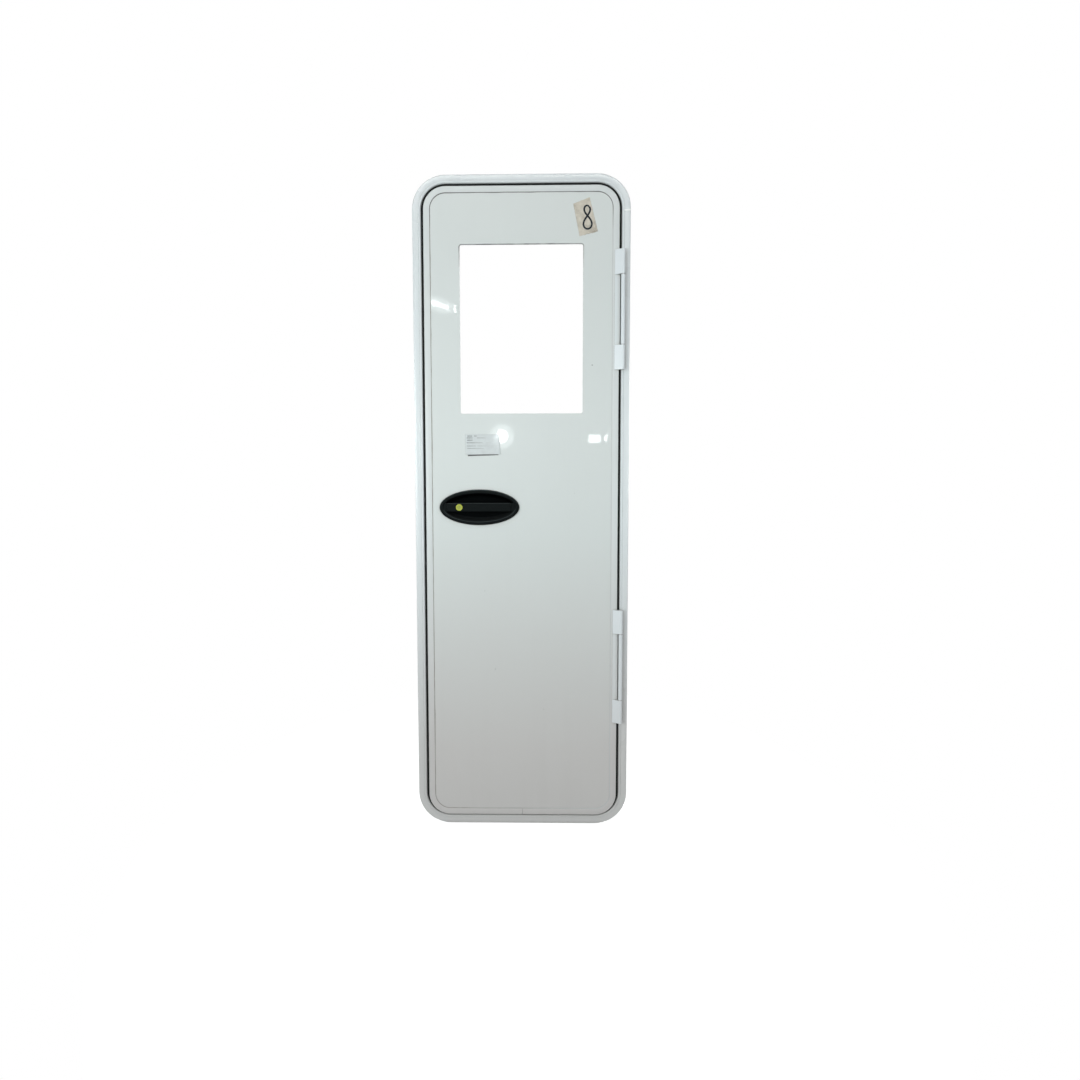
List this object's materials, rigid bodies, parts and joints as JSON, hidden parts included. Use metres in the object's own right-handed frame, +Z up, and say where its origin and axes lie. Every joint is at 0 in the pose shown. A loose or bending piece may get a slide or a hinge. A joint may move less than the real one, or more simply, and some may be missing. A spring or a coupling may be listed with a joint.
{
  "type": "caravan entry door",
  "caption": "Rounded caravan entry door hung in its wall frame, with an open window cut-out, long side hinges and an oval black pull handle with a lock.",
  "frame": {"origin": "on the back face of the frame's flange, which lies on the wall, at mid sill on the screw line", "axes": "+Z up, +Y in through the wall, +X to the right as seen from outside (the hinge side)"},
  "size_m": [0.574, 0.0694, 1.754],
  "materials": {
    "frame_paint": "smooth white powder coat, slightly worn",
    "cover_strip": "glossy white extruded strip",
    "seal_rubber": "matt black rubber",
    "hinge_paint": "bluish white paint",
    "steel": "plain steel",
    "band_paint": "satin white paint",
    "skin_paint": "glossy off-white paint",
    "inner_laminate": "pale grained laminate",
    "foam": "closed-cell foam",
    "painted_timber": "softwood, painted white",
    "timber": "raw softwood",
    "handle_plastic": "fine-grained black moulding",
    "lock_finish": "yellow-green coating",
    "plug_finish": "darker yellow-green coating"
  },
  "bodies": {
    "frame": {"frame_profile": "frame_paint", "frame_cover_strip": "cover_strip", "weather_seal": "seal_rubber", "stop_seal": "seal_rubber", "latch_keeper": "steel", "upper_frame_knuckle": "hinge_paint", "upper_hinge_pin": "steel", "lower_frame_knuckle": "hinge_paint", "lower_hinge_pin": "steel"},
    "leaf": {"leaf_edge_profile": "band_paint", "outer_skin": "skin_paint", "inner_skin": "inner_laminate", "foam_core": "foam", "window_rail_top": "painted_timber", "window_rail_bottom": "painted_timber", "window_stile_left": "painted_timber", "window_stile_right": "painted_timber", "lock_block": "timber", "latch_forend": "steel", "latch_bolt": "steel", "handle_bezel": "handle_plastic", "handle_pivot_pins": "steel", "inner_handle_plate": "handle_plastic", "inner_handle_lever": "handle_plastic", "upper_leaf_knuckle_top": "hinge_paint", "upper_leaf_knuckle_bottom": "hinge_paint", "lower_leaf_knuckle_top": "hinge_paint", "lower_leaf_knuckle_bottom": "hinge_paint", "upper_leaf_plate": "hinge_paint", "lower_leaf_plate": "hinge_paint"},
    "grip": {"handle_bar": "handle_plastic", "lock_barrel": "lock_finish"},
    "plug": {"lock_plug": "plug_finish"}
  },
  "joints": [
    {"name": "door_swing", "type": "hinge", "parent": "frame", "child": "leaf", "pos_m": [0.266, -0.0175, 0.4365], "axis": [0, 0, 1], "range_deg": [0, 175]},
    {"name": "handle_pull", "type": "hinge", "parent": "leaf", "child": "grip", "pos_m": [-0.1148, -0.0075, 0.8785], "axis": [-1, 0, 0], "range_deg": [0, 35], "stiffness_Nm_per_rad": 0.4},
    {"name": "lock_turn", "type": "hinge", "parent": "grip", "child": "plug", "pos_m": [-0.168, -0.0145, 0.871], "axis": [0, 1, 0], "range_deg": [0, 90]}
  ]
}
